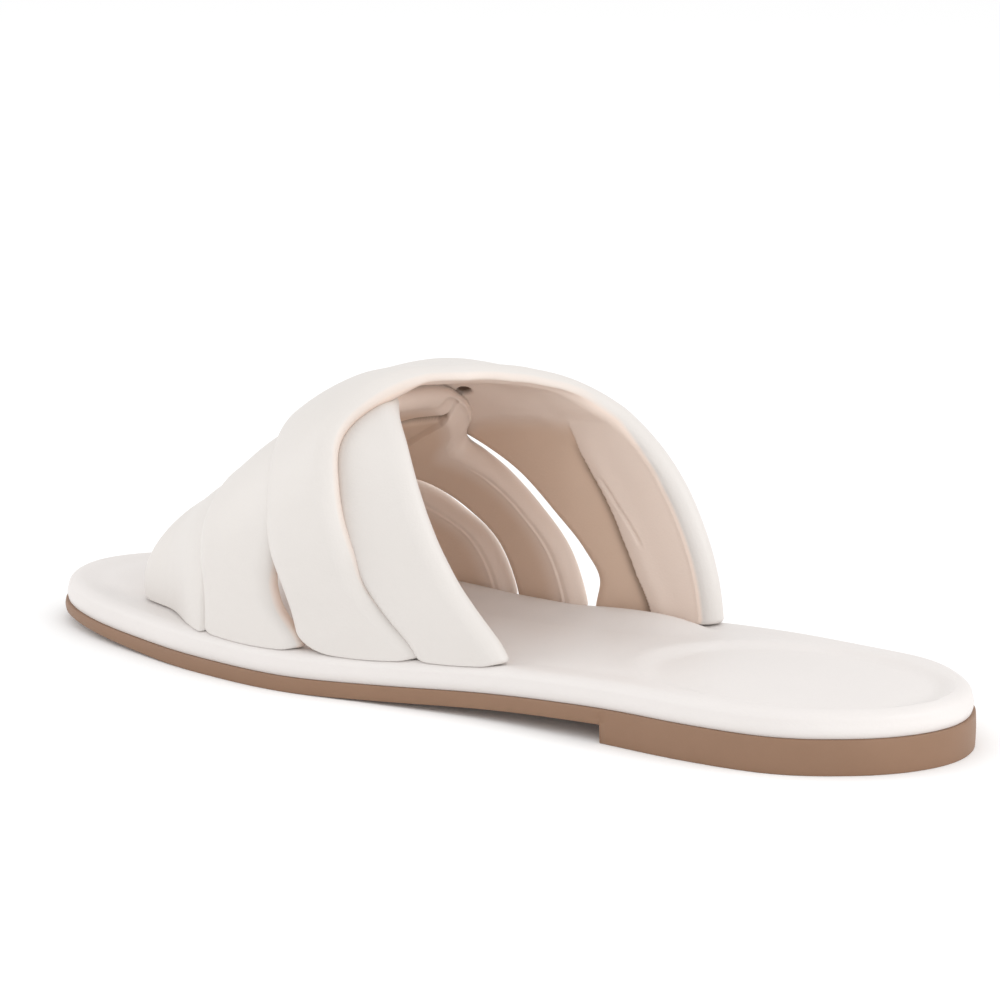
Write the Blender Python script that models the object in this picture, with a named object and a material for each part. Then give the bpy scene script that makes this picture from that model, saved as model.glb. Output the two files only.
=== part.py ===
"""Padded criss-cross slide sandal, one left shoe, empty and standing on a floor.

The frame: metres, +Z up, the toe points along -Y, the outer side of the foot is +X, and the
origin is on the floor under the middle of the sole. Sizes below are in millimetres. A place
along the shoe is its distance s from the back of the heel.
"""
import bpy
import bmesh
import numpy as np

MM = 0.001

# Sole: lengths, heights and thicknesses
SOLE_LENGTH = 250.0
FORE_THICKNESS = 3.5
HEEL_TOP = 7.8
HEEL_BREAST = 69.0
RISE_START, RISE_END = 55.0, 155.0
TOE_SPRING = 2.0
SPRING_START = 182.0
SOLE_EDGE = 0.6
TOE_TIP_X = 1.0
MIDDLE_SHIFT = 0.42

# Outline of the sole: the half-widths on the outer and inner side of the foot
OUTLINE_COLUMNS = ("s", "outer", "inner")
OUTLINE_ROWS = (
    (0.0, 0.0, 0.0),
    (10.0, 22.0, 21.5),
    (25.0, 32.0, 31.0),
    (45.0, 34.9, 33.2),
    (75.0, 34.2, 34.4),
    (105.0, 34.5, 35.0),
    (130.0, 38.4, 36.6),
    (155.0, 42.6, 40.0),
    (180.0, 40.8, 42.0),
    (205.0, 35.2, 38.6),
    (225.0, 29.0, 31.0),
    (240.0, 20.6, 22.0),
    (250.0, 0.0, 0.0),
)

# Footbed: a padded, wrapped board on the outsole, with a soft oval hollow for the heel
SEAT_GAP = 0.3
BED_THICKNESS = 5.5
BED_INSET = 0.8
BED_ROLL, BED_ROLL_FALL = 3.2, 2.4
PAD_CENTRE_S, PAD_CENTRE_X = 40.5, 1.5
PAD_HALF_LENGTH, PAD_HALF_WIDTH = 35.0, 25.0
PAD_DEPTH = 0.9
PAD_RIM = 0.12

# Straps: one padded thickness, and the hollow under them where the foot goes
STRAP_THICKNESS = 6.5
SECTION_WIDTH_POWER, SECTION_DEPTH_POWER = 0.6, 0.8
OUTER_INSET, OUTER_TOE_INSET, OUTER_TOE_START, OUTER_TOE_END = 1.9, 8.0, 180.0, 203.0
INNER_INSET, INNER_TOE_INSET, INNER_TOE_START, INNER_TOE_END = 2.5, 6.0, 180.0, 218.0
ARCH_ROUNDNESS = 2.8
LEVEL_FOOT = 0.12
OVER_LIFT = 5.0
ARCH_COLUMNS = ("s", "height")
ARCH_ROWS = (
    (80.0, 52.5),
    (110.0, 52.5),
    (135.0, 52.3),
    (150.0, 49.4),
    (165.0, 41.0),
    (178.0, 31.0),
    (190.0, 25.7),
    (205.0, 17.4),
    (225.0, 11.0),
)

# Edges of each strap at shares t of the way over the foot, from the outer foot of the strap
# (t = 0) to the inner one (t = 1), and how far it lies over the strap below it
STRAP_COLUMNS = ("t", "rear", "front", "over")
STRAPS = {
    "rear_under": (
        (0.0, 98.6, 122.0, 0.0), (0.025, 105.0, 129.0, 0.0), (0.05, 109.8, 134.0, 0.0),
        (0.1, 116.2, 140.0, 0.0), (0.15, 120.8, 145.0, 0.0), (0.2, 124.6, 149.5, 0.0),
        (0.3, 131.8, 158.0, 0.0), (0.4, 139.8, 166.5, 0.0), (0.5, 147.0, 173.0, 0.0),
        (0.6, 147.2, 176.5, 0.0), (0.68, 148.5, 176.5, 0.0), (0.71, 150.0, 175.8, 0.0),
        (0.735, 153.0, 174.8, 0.0), (0.76, 154.4, 173.2, 0.0), (0.8, 151.0, 170.4, 0.0),
        (0.85, 144.1, 165.6, 0.0), (0.9, 135.8, 158.4, 0.0), (0.95, 127.2, 149.1, 0.0),
        (1.0, 121.4, 142.3, 0.0),
    ),
    "rear_over": (
        (0.0, 120.0, 151.6, 0.02), (0.025, 128.0, 153.0, 0.14), (0.05, 132.8, 154.4, 0.34),
        (0.1, 136.6, 157.4, 0.68), (0.15, 139.8, 159.4, 0.9), (0.2, 142.2, 161.0, 1.0),
        (0.3, 145.2, 164.0, 1.0), (0.4, 139.3, 167.0, 1.0), (0.5, 130.0, 168.5, 1.0),
        (0.6, 120.5, 167.5, 1.0), (0.7, 108.8, 162.0, 0.9), (0.8, 97.2, 150.6, 0.6),
        (0.85, 92.3, 140.8, 0.42), (0.9, 88.2, 131.6, 0.25), (0.95, 84.4, 121.4, 0.1),
        (0.98, 82.5, 116.8, 0.03), (1.0, 81.5, 118.0, 0.0),
    ),
    "front_under": (
        (0.0, 174.0, 214.5, 0.0), (0.1, 172.0, 214.0, 0.0), (0.2, 171.0, 211.5, 0.0),
        (0.3, 171.5, 208.5, 0.0), (0.4, 172.5, 205.5, 0.0), (0.5, 174.5, 203.5, 0.0),
        (0.6, 177.2, 201.5, 0.0), (0.7, 177.6, 199.5, 0.0), (0.75, 176.3, 198.0, 0.0),
        (0.8, 173.4, 196.0, 0.0), (0.85, 168.6, 191.5, 0.0), (0.9, 161.7, 186.0, 0.0),
        (0.95, 151.9, 180.5, 0.0), (1.0, 144.4, 176.0, 0.0),
    ),
    "front_over": (
        (0.0, 154.3, 181.6, 0.02), (0.025, 156.8, 181.2, 0.07), (0.05, 158.2, 181.0, 0.15),
        (0.08, 158.2, 181.0, 0.3), (0.1, 157.2, 181.2, 0.42), (0.15, 155.2, 181.4, 0.68),
        (0.2, 156.0, 181.8, 0.75), (0.25, 157.2, 182.0, 0.72), (0.3, 158.6, 182.4, 0.66),
        (0.35, 160.4, 183.0, 0.54), (0.4, 162.5, 184.0, 0.33), (0.5, 168.0, 188.0, 0.45),
        (0.6, 174.0, 194.0, 0.6), (0.7, 178.5, 199.5, 0.6), (0.8, 181.0, 203.0, 0.6),
        (0.9, 180.0, 203.5, 0.3), (1.0, 178.0, 201.0, 0.0),
    ),
}

# The uppermost strap drops towards the foot near its top: at shares t of the way over the foot,
# the drop at its rear edge and at its front edge, and how far inwards each drop reaches
DROOPING_STRAP = "rear_over"
DROOP_ROWS = (
    (0.0, 0.0, 0.0), (0.1, 0.0, 0.0), (0.2, 0.0, 1.0), (0.3, 0.0, 1.2), (0.4, 0.0, 0.2),
    (0.45, 0.4, 0.0), (0.5, 2.0, 0.0), (0.55, 2.8, 0.0), (0.6, 2.5, 0.0), (0.65, 1.4, 0.0),
    (0.72, 0.0, 0.0), (1.0, 0.0, 0.0),
)
DROOP_START, DROOP_END = 8.0, 28.0
FRONT_DROOP_START, FRONT_DROOP_END = 3.0, 18.0

# How finely the curved pieces are cut into faces
SOLE_STATIONS = 44
SOLE_COLUMNS = 10
STRAP_STATIONS = 33
STRAP_SIDES = 18
BREAST_CLEAR, BREAST_STEP = 2.0, 0.02
ROLL_TURNS = (0.0, 30.0, 60.0, 90.0)
SHARP_ANGLE = 35.0

# Finishes: colour, roughness
TAN_RUBBER = ((0.36, 0.22, 0.15), 0.55)
IVORY_COVER = ((0.83, 0.77, 0.71), 0.50)
IVORY_STRAP = ((0.84, 0.78, 0.72), 0.45)


def smooth_step(value, start, end):
    """Rises from 0 to 1 between start and end, level at both."""
    share = np.clip((value - start) / (end - start), 0.0, 1.0)
    return share * share * (3.0 - 2.0 * share)


def curve_through(at, rows_at, rows_value):
    """A smooth curve through the rows: a cubic between neighbours, with the rows' mean slope."""
    rows_at, rows_value = np.asarray(rows_at), np.asarray(rows_value)
    slope = np.gradient(rows_value, rows_at)
    i = np.clip(np.searchsorted(rows_at, at) - 1, 0, len(rows_at) - 2)
    run = rows_at[i + 1] - rows_at[i]
    u = (at - rows_at[i]) / run
    return ((2 * u**3 - 3 * u**2 + 1) * rows_value[i] + (u**3 - 2 * u**2 + u) * run * slope[i]
            + (3 * u**2 - 2 * u**3) * rows_value[i + 1] + (u**3 - u**2) * run * slope[i + 1])


def length_angle(s):
    """Turns s into an angle from 0 at the heel to pi at the toe, so that round ends stay round."""
    return np.arccos(np.clip(1.0 - 2.0 * np.asarray(s) / SOLE_LENGTH, -1.0, 1.0))


def side_edge(s, column):
    """Half-width of the sole on one side of the foot."""
    rows = np.array(OUTLINE_ROWS)
    place = OUTLINE_COLUMNS.index(column)
    return np.maximum(curve_through(length_angle(s), length_angle(rows[:, 0]), rows[:, place]), 0.0)


def middle_line(s):
    """The sole's middle line bends towards the toe tip over the front of the shoe.

    The shift puts the sole's widest places evenly about the middle plane.
    """
    return TOE_TIP_X * smooth_step(s, RISE_END, SOLE_LENGTH) - MIDDLE_SHIFT


def spring(s):
    """Lift of the toe off the floor."""
    return TOE_SPRING * (np.clip(s - SPRING_START, 0.0, None) / (SOLE_LENGTH - SPRING_START)) ** 2


def outsole_top(s):
    """Height of the outsole's top: level on the heel, down through the arch, up at the toe."""
    drop = (HEEL_TOP - FORE_THICKNESS) * smooth_step(s, RISE_START, RISE_END)
    return HEEL_TOP - drop + spring(s)


def outsole_bottom(s):
    """The heel block stands on the floor; in front of its breast the sole is one thickness."""
    return np.where(s < HEEL_BREAST, 0.0, outsole_top(s) - FORE_THICKNESS)


def bed_bottom(s):
    return outsole_top(s) + SEAT_GAP


def bed_top(s):
    return outsole_top(s) + SEAT_GAP + BED_THICKNESS


def shoe_point(s, x, z):
    """Millimetres along, across and up, as points of the part's frame in metres."""
    s, x, z = np.broadcast_arrays(s, x, z)
    return np.stack([x, SOLE_LENGTH / 2 - s, z], axis=-1) * MM


def sole_stations():
    """Distances from the heel, closer together at the round ends, with a pair at the breast."""
    turn = np.linspace(0.0, np.pi, SOLE_STATIONS + 1)
    even = SOLE_LENGTH / 2 * (1.0 - np.cos(turn))
    even = even[np.abs(even - HEEL_BREAST) > BREAST_CLEAR]
    return np.sort(np.concatenate([even, [HEEL_BREAST - BREAST_STEP, HEEL_BREAST + BREAST_STEP]]))


def outline_ring(inset):
    """The sole's outline, drawn in by an inset: along the outer side to the toe, and back."""
    s = sole_stations()
    outer = np.stack([s, middle_line(s) + side_edge(s, "outer")], axis=1)
    inner = np.stack([s, middle_line(s) - side_edge(s, "inner")], axis=1)
    ring = np.concatenate([outer, inner[-2:0:-1]])
    ahead, behind = np.roll(ring, -1, axis=0), np.roll(ring, 1, axis=0)
    along = ahead - behind
    along /= np.linalg.norm(along, axis=1)[:, None]
    inward = np.stack([along[:, 1], -along[:, 0]], axis=1)
    return ring + inward * inset


def new_object(name, points, faces, finish, collection):
    """A mesh object with its own material; its faces are turned outwards."""
    mesh = bpy.data.meshes.new(name)
    mesh.from_pydata(np.asarray(points).tolist(), [], faces)
    shape = bmesh.new()
    shape.from_mesh(mesh)
    bmesh.ops.recalc_face_normals(shape, faces=shape.faces)
    bmesh.ops.triangulate(shape, faces=shape.faces)
    shape.to_mesh(mesh)
    shape.free()
    mesh.shade_smooth()
    mesh.set_sharp_from_angle(angle=np.radians(SHARP_ANGLE))
    thing = bpy.data.objects.new(name, mesh)
    thing.data.materials.append(finish_material(name, *finish))
    collection.objects.link(thing)
    return thing


def finish_material(name, colour, roughness):
    material = bpy.data.materials.new(name + "_finish")
    material.use_nodes = True
    shader = material.node_tree.nodes["Principled BSDF"]
    shader.inputs["Base Color"].default_value = (*colour, 1.0)
    shader.inputs["Roughness"].default_value = roughness
    shader.inputs["Metallic"].default_value = 0.0
    return material


def stacked_rings(name, rings, bottom_height, top_height, finish, collection):
    """A closed sole piece: rings of the outline from bottom to top, with a face grid at each end.

    Each ring is an inset and a height function of s. The end grids run across from one side of
    the last ring to the other, and take their heights from functions of s and x.
    """
    points, faces = [], []
    count = len(outline_ring(0.0))
    half = count // 2
    for inset, height in rings:
        ring = outline_ring(inset)
        points.extend(shoe_point(ring[:, 0], ring[:, 1], height(ring[:, 0])))
    for level in range(len(rings) - 1):
        for i in range(count):
            a, b = level * count + i, level * count + (i + 1) % count
            faces.append((a, b, b + count, a + count))
    for level, height in ((0, bottom_height), (len(rings) - 1, top_height)):
        ring = outline_ring(rings[level][0])
        rows = []
        for i in range(1, half):
            near, far = level * count + i, level * count + count - i
            row = [near]
            for k in range(1, SOLE_COLUMNS):
                s, x = ring[i] + (ring[count - i] - ring[i]) * k / SOLE_COLUMNS
                row.append(len(points))
                points.append(shoe_point(s, x, height(s, x)))
            rows.append(row + [far])
        for row, following in zip(rows, rows[1:]):
            for k in range(SOLE_COLUMNS):
                faces.append((row[k], row[k + 1], following[k + 1], following[k]))
        for tip, row in ((level * count, rows[0]), (level * count + half, rows[-1])):
            for k in range(SOLE_COLUMNS):
                faces.append((tip, row[k], row[k + 1]))
    return new_object(name, points, faces, finish, collection)


def build_outsole(collection):
    """One moulded unit: a thin sole with a low heel block that starts in a step."""
    rings = (
        (SOLE_EDGE, outsole_bottom),
        (0.0, lambda s: outsole_bottom(s) + SOLE_EDGE),
        (0.0, lambda s: outsole_top(s) - SOLE_EDGE),
        (SOLE_EDGE, outsole_top),
    )
    return stacked_rings("outsole", rings, lambda s, x: outsole_bottom(s),
                         lambda s, x: outsole_top(s), TAN_RUBBER, collection)


def heel_hollow(s, x):
    """Depth of the oval heel hollow: flat inside, with a soft rim."""
    reach = np.hypot((s - PAD_CENTRE_S) / PAD_HALF_LENGTH,
                     (x - PAD_CENTRE_X) / PAD_HALF_WIDTH)
    return PAD_DEPTH * (1.0 - smooth_step(reach, 1.0 - PAD_RIM, 1.0 + PAD_RIM))


def build_footbed(collection):
    """A padded board wrapped in the cover, with a rolled upper edge."""
    rings = [(BED_INSET + SOLE_EDGE, bed_bottom),
             (BED_INSET, lambda s: bed_bottom(s) + SOLE_EDGE)]
    for turn in np.radians(ROLL_TURNS):
        inset = BED_INSET + BED_ROLL * (1.0 - np.cos(turn))
        fall = BED_ROLL_FALL * (1.0 - np.sin(turn))
        rings.append((inset, lambda s, fall=fall: bed_top(s) - fall))
    return stacked_rings("footbed", rings, lambda s, x: bed_bottom(s),
                         lambda s, x: bed_top(s) - heel_hollow(s, x), IVORY_COVER, collection)


def last_point(s, t):
    """The hollow under the straps: a rounded arch over the foot at each distance s.

    t runs over the foot from 0 on the outer side to 1 on the inner side. The arch stands on the
    footbed, its feet set in from the sole's edge, and it falls away towards the toes.
    """
    outer_in = OUTER_INSET + OUTER_TOE_INSET * smooth_step(s, OUTER_TOE_START, OUTER_TOE_END)
    inner_in = INNER_INSET + INNER_TOE_INSET * smooth_step(s, INNER_TOE_START, INNER_TOE_END)
    outer_x = middle_line(s) + side_edge(s, "outer") - outer_in - STRAP_THICKNESS
    inner_x = middle_line(s) - side_edge(s, "inner") + inner_in + STRAP_THICKNESS
    rows = np.array(ARCH_ROWS)
    height = curve_through(s, rows[:, 0], rows[:, ARCH_COLUMNS.index("height")])
    turn = np.pi * t
    power = 2.0 / ARCH_ROUNDNESS
    across = np.sign(np.cos(turn)) * np.abs(np.cos(turn)) ** power
    x = (outer_x + inner_x) / 2 + (outer_x - inner_x) / 2 * across
    z = bed_top(s) + SEAT_GAP + height * np.abs(np.sin(turn)) ** power
    return np.stack([x, SOLE_LENGTH / 2 - s, z], axis=-1)


def last_outward(s, t):
    """Unit direction out of the arch, level at its feet."""
    step_t, step_s = 0.002, 0.5
    inside = np.clip(t, 0.01, 0.99)
    along_t = last_point(s, inside + step_t) - last_point(s, inside - step_t)
    along_s = last_point(s + step_s, inside) - last_point(s - step_s, inside)
    out = np.cross(along_t, along_s)
    out[..., 1] *= np.sin(np.pi * t)
    out[..., 2] *= smooth_step(np.sin(np.pi * t), 0.0, LEVEL_FOOT)
    return out / np.linalg.norm(out, axis=-1, keepdims=True)


def rim_droop(t, from_rear, from_front):
    """Drop of the uppermost strap at its distances from its rear and front edges."""
    at, rear, front = np.array(DROOP_ROWS).T
    return (np.interp(t, at, rear) * (1.0 - smooth_step(from_rear, DROOP_START, DROOP_END))
            + np.interp(t, at, front)
            * (1.0 - smooth_step(from_front, FRONT_DROOP_START, FRONT_DROOP_END)))


def build_strap(name, rows, collection):
    """A padded strap: a flat rounded section carried over the arch between its two edges."""
    rows = np.array(rows)
    column = {label: rows[:, i] for i, label in enumerate(STRAP_COLUMNS)}
    t = 0.5 - 0.5 * np.cos(np.linspace(0.0, np.pi, STRAP_STATIONS))
    t = 0.5 * t + 0.5 * np.linspace(0.0, 1.0, STRAP_STATIONS)
    rear, front, over = (curve_through(t, column["t"], column[label])[:, None]
                         for label in STRAP_COLUMNS[1:])
    turn = 2.0 * np.pi * np.arange(STRAP_SIDES)[None, :] / STRAP_SIDES
    across = np.sign(np.cos(turn)) * np.abs(np.cos(turn)) ** SECTION_WIDTH_POWER
    depth = np.sign(np.sin(turn)) * np.abs(np.sin(turn)) ** SECTION_DEPTH_POWER
    s = (rear + front) / 2 + (front - rear) / 2 * across
    t = np.broadcast_to(t[:, None], s.shape)
    lift = OVER_LIFT * over + STRAP_THICKNESS / 2 * (1.0 + depth)
    if name == DROOPING_STRAP:
        lift = lift - rim_droop(t, s - rear, front - s)
    points = last_point(s, t) + last_outward(s, t) * lift[..., None]
    faces = []
    for i in range(STRAP_STATIONS - 1):
        for k in range(STRAP_SIDES):
            a, b = i * STRAP_SIDES + k, i * STRAP_SIDES + (k + 1) % STRAP_SIDES
            faces.append((a, b, b + STRAP_SIDES, a + STRAP_SIDES))
    faces.append(tuple(range(STRAP_SIDES)))
    faces.append(tuple(range((STRAP_STATIONS - 1) * STRAP_SIDES, STRAP_STATIONS * STRAP_SIDES)))
    return new_object(name, points.reshape(-1, 3) * MM, faces, IVORY_STRAP, collection)


def build_upper(collection, cutters):
    """The four straps joined where they cross, as one hollow upper."""
    first, *others = STRAPS
    upper = build_strap("upper", STRAPS[first], collection)
    for name in others:
        strap = build_strap(name, STRAPS[name], cutters)
        strap.hide_render = True
        strap.display_type = "WIRE"
        joined = upper.modifiers.new("join_" + name, "BOOLEAN")
        joined.operation = "UNION"
        joined.solver = "EXACT"
        joined.object = strap
    return upper


def new_collection(name):
    collection = bpy.data.collections.new(name)
    bpy.context.scene.collection.children.link(collection)
    return collection


def clear_scene():
    for thing in list(bpy.data.objects):
        bpy.data.objects.remove(thing, do_unlink=True)


clear_scene()
sandal = new_collection("slide_sandal")
strap_cutters = new_collection("strap_shapes")
build_outsole(sandal)
build_footbed(sandal)
build_upper(sandal, strap_cutters)
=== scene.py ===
import bpy
import numpy as np
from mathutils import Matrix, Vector


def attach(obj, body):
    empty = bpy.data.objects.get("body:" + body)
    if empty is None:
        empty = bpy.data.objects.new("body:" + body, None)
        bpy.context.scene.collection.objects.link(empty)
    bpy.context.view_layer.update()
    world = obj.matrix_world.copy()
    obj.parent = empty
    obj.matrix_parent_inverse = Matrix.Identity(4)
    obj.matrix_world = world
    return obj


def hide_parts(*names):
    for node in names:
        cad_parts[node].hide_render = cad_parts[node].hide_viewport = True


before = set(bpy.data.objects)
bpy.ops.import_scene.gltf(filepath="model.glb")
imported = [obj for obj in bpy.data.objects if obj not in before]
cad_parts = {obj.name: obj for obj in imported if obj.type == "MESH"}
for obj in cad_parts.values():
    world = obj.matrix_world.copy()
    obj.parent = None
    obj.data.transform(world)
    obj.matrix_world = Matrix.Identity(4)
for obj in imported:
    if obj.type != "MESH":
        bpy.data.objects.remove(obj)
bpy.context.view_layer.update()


# Outsole: one moulding of tan rubber, thin under the front of the foot, with a low heel block
# that starts in a step. The footbed is cemented onto it, so only its edge and underside show.
# Sizes here are in millimetres, and s is the distance from the back of the heel.
MM = 0.001
SOLE_LENGTH = 250.0
FORE_THICKNESS, HEEL_TOP, HEEL_BREAST = 3.5, 7.8, 69.0
RISE_START, RISE_END = 55.0, 155.0
TOE_SPRING, SPRING_START = 2.0, 182.0
TOE_THINNER, TOE_THIN_START, TOE_THIN_END = 1.1, 180.0, 240.0
TOE_TIP_X, MIDDLE_SHIFT = 1.0, 0.42
OUTSOLE_EDGE, OUTSOLE_BULGE = 0.3, 0.12
SIDE_STATIONS, BREAST_STEP, BREAST_CLEAR = 150, 0.02, 2.0
EDGE_TURNS = np.radians((0.0, 30.0, 60.0, 90.0))
SHEET_RINGS, OUTSOLE_WALL_RINGS = 9, 7
TAN_DEEP, TAN_PALE = (0.238, 0.136, 0.082, 1.0), (0.288, 0.170, 0.108, 1.0)
TAN_ROUGHNESS, TAN_ROUGHNESS_SPREAD = 0.46, 0.16
OUTLINE = np.array((  # s, half-width on the outer side, half-width on the inner side
    (0.0, 0.0, 0.0), (10.0, 22.0, 21.5), (25.0, 32.0, 31.0), (45.0, 34.9, 33.2),
    (75.0, 34.2, 34.4), (105.0, 34.5, 35.0), (130.0, 38.4, 36.6), (155.0, 42.6, 40.0),
    (180.0, 40.8, 42.0), (205.0, 35.2, 38.6), (225.0, 29.0, 31.0), (240.0, 20.6, 22.0),
    (250.0, 0.0, 0.0)))


def smooth_step(value, start, end):
    """Rises from 0 to 1 between start and end: three times the share squared, less twice its cube."""
    share = np.clip((value - start) / (end - start), 0.0, 1.0)
    return share * share * (3.0 - 2.0 * share)


def curve_through(at, rows_at, rows_value):
    """A curve through the rows: a cubic between neighbours that has the rows' mean slope at each."""
    slope = np.gradient(rows_value, rows_at)
    i = np.clip(np.searchsorted(rows_at, at) - 1, 0, len(rows_at) - 2)
    run = rows_at[i + 1] - rows_at[i]
    u = (at - rows_at[i]) / run
    return ((2 * u**3 - 3 * u**2 + 1) * rows_value[i] + (u**3 - 2 * u**2 + u) * run * slope[i]
            + (3 * u**2 - 2 * u**3) * rows_value[i + 1] + (u**3 - u**2) * run * slope[i + 1])


def length_angle(s):
    """s as the angle from 0 at the heel to pi at the toe whose cosine falls with s."""
    return np.arccos(np.clip(1.0 - 2.0 * s / SOLE_LENGTH, -1.0, 1.0))


def side_edge(s, column):
    """Half-width of the sole at s: the outline's curve, taken over the length angle."""
    edge = curve_through(length_angle(s), length_angle(OUTLINE[:, 0]), OUTLINE[:, column])
    return np.maximum(edge, 0.0)


def middle_line(s):
    """The sole's middle line: it bends smoothly towards the toe tip over the front of the shoe."""
    return TOE_TIP_X * smooth_step(s, RISE_END, SOLE_LENGTH) - MIDDLE_SHIFT


def outsole_top(s):
    """Level on the heel, a smooth step down to the front, and a parabola up at the toe."""
    drop = (HEEL_TOP - FORE_THICKNESS) * smooth_step(s, RISE_START, RISE_END)
    ahead = np.clip(s - SPRING_START, 0.0, None) / (SOLE_LENGTH - SPRING_START)
    return HEEL_TOP - drop + TOE_SPRING * ahead**2


def outsole_bottom(s):
    """The floor under the heel block, and the top less one thickness in front of its breast.

    The thickness falls by a smooth step towards the toe tip.
    """
    thickness = FORE_THICKNESS - TOE_THINNER * smooth_step(s, TOE_THIN_START, TOE_THIN_END)
    return np.where(s < HEEL_BREAST, 0.0, outsole_top(s) - thickness)


def outline_ring(inset):
    """The outline moved inwards along its normals: the outer side to the toe, the inner side back.

    Stations near the heel block's breast move clear of it, and a close pair there makes the step.
    """
    turn = np.linspace(0.0, np.pi, SIDE_STATIONS + 1)
    s = SOLE_LENGTH / 2 * (1.0 - np.cos(turn))
    past = s - HEEL_BREAST
    s = np.where(np.abs(past) < BREAST_CLEAR, HEEL_BREAST + np.sign(past) * BREAST_CLEAR, s)
    s = np.unique(np.concatenate([s, [HEEL_BREAST - BREAST_STEP, HEEL_BREAST + BREAST_STEP]]))
    outer = np.stack([s, middle_line(s) + side_edge(s, 1)], axis=1)
    inner = np.stack([s, middle_line(s) - side_edge(s, 2)], axis=1)
    ring = np.concatenate([outer, inner[-2:0:-1]])
    along = np.roll(ring, -1, axis=0) - np.roll(ring, 1, axis=0)
    along /= np.linalg.norm(along, axis=1)[:, None]
    return ring + np.stack([along[:, 1], -along[:, 0]], axis=1) * inset


def folded_sheet(inset, shares, height):
    """Rings from the outline down to its middle line: each keeps a share of the half-width."""
    ring = outline_ring(inset)
    s, middle = ring[None, :, 0], middle_line(ring[:, 0])[None, :]
    x = middle + np.asarray(shares)[:, None] * (ring[None, :, 1] - middle)
    s = np.broadcast_to(s, x.shape)
    return np.stack([x, SOLE_LENGTH / 2 - s, height(s, x)], axis=-1)


def edge_rings(steps):
    """One ring for each step, an inset and a height function of s."""
    rings = [(outline_ring(inset), height) for inset, height in steps]
    return np.stack([np.stack([ring[:, 1], SOLE_LENGTH / 2 - ring[:, 0], height(ring[:, 0])],
                              axis=-1) for ring, height in rings])


def new_piece(name, points, faces, material):
    """A mesh object at the origin, without the points that no face uses.

    The faces turn outwards: the triple products of their fans of triangles add up to more than 0.
    """
    used = np.unique(np.concatenate([np.ravel(f) for f in faces]))
    place = np.zeros(len(points), int)
    place[used] = np.arange(len(used))
    points = points[used] * MM
    corners = [place[f] for f in faces]
    volume = sum((points[f[:, :1]] * np.cross(points[f[:, 1:-1]], points[f[:, 2:]])).sum()
                 for f in corners)
    polygons = [row[::-1] if volume < 0 else row for f in corners for row in f.tolist()]
    mesh = bpy.data.meshes.new(name)
    mesh.from_pydata(points.tolist(), [], polygons)
    mesh.shade_smooth()
    mesh.materials.append(material)
    piece = bpy.data.objects.new(name, mesh)
    bpy.context.scene.collection.objects.link(piece)
    return piece


def ring_faces(levels, count):
    """Quads between neighbouring rings, with the first and last ring folded shut along the middle."""
    index = np.arange(levels * count).reshape(levels, count)
    fold = np.minimum(np.arange(count), (count - np.arange(count)) % count)
    index[0], index[-1] = index[0][fold], index[-1][fold]
    ahead = np.roll(index, -1, axis=1)
    quads = np.stack([index[:-1], ahead[:-1], ahead[1:], index[1:]], axis=-1).reshape(-1, 4)
    tips = (quads[:, 0] == quads[:, 1]) | (quads[:, 2] == quads[:, 3])
    return [quads[~tips]]


class Wire:
    """A socket of a material's nodes. Arithmetic on it adds Math nodes; make adds any other node."""

    def __init__(self, socket):
        self.socket = socket

    def make(self, kind, settings, values, out=0):
        node = self.socket.id_data.nodes.new(kind)
        for key, value in settings.items():
            setattr(node, key, value)
        for key, value in values.items():
            if isinstance(value, Wire):
                self.socket.id_data.links.new(value.socket, node.inputs[key])
            else:
                node.inputs[key].default_value = value
        return Wire(node.outputs[out])

    def math(self, operation, a, b):
        return self.make("ShaderNodeMath", {"operation": operation}, {0: a, 1: b})

    def __add__(self, other):
        return self.math("ADD", self, other)

    def __sub__(self, other):
        return self.math("SUBTRACT", self, other)

    def __rsub__(self, other):
        return self.math("SUBTRACT", other, self)

    def __mul__(self, other):
        return self.math("MULTIPLY", self, other)

    __radd__, __rmul__ = __add__, __mul__

    def blend(self, first, second):
        """first where this wire is 0, second where it is 1: two colours mixed by it."""
        return self.make("ShaderNodeMix", {"data_type": "RGBA"}, {0: self, 6: first, 7: second}, out=2)

    def noise(self, scale, detail, rough=0.55):
        """Noise over the place that this wire gives, with scale waves to the metre."""
        return self.make("ShaderNodeTexNoise", {},
                         {"Vector": self, "Scale": scale, "Detail": detail, "Roughness": rough})


def new_material(name, **constants):
    """A material with constants set on its shader: the material, its shader, its Object coordinates."""
    material = bpy.data.materials.new(name)
    material.use_nodes = True
    nodes = material.node_tree.nodes
    shader = nodes["Principled BSDF"]
    for key, value in constants.items():
        shader.inputs[key.replace("_", " ")].default_value = value
    return material, shader, Wire(nodes.new("ShaderNodeTexCoord").outputs["Object"])


def feed(shader, **wires):
    """Links wires to the shader's sockets."""
    for key, wire in wires.items():
        shader.id_data.links.new(wire.socket, shader.inputs[key.replace("_", " ")])


def tan_rubber():
    """Moulded rubber: tan with a faint cloudiness, fine stipple in the bump, and a satin finish."""
    material, shader, place = new_material("tan_rubber", Metallic=0.0, Specular_IOR_Level=0.35)
    cloud = place.noise(scale=70.0, detail=4.0)
    stipple = place.noise(scale=2600.0, detail=2.0)
    bump = stipple.make("ShaderNodeBump", {}, {"Strength": 0.10, "Distance": 0.0003, "Height": stipple})
    feed(shader,
         Base_Color=cloud.blend(TAN_DEEP, TAN_PALE),
         Roughness=TAN_ROUGHNESS + TAN_ROUGHNESS_SPREAD * cloud,
         Normal=bump)
    return material


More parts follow.
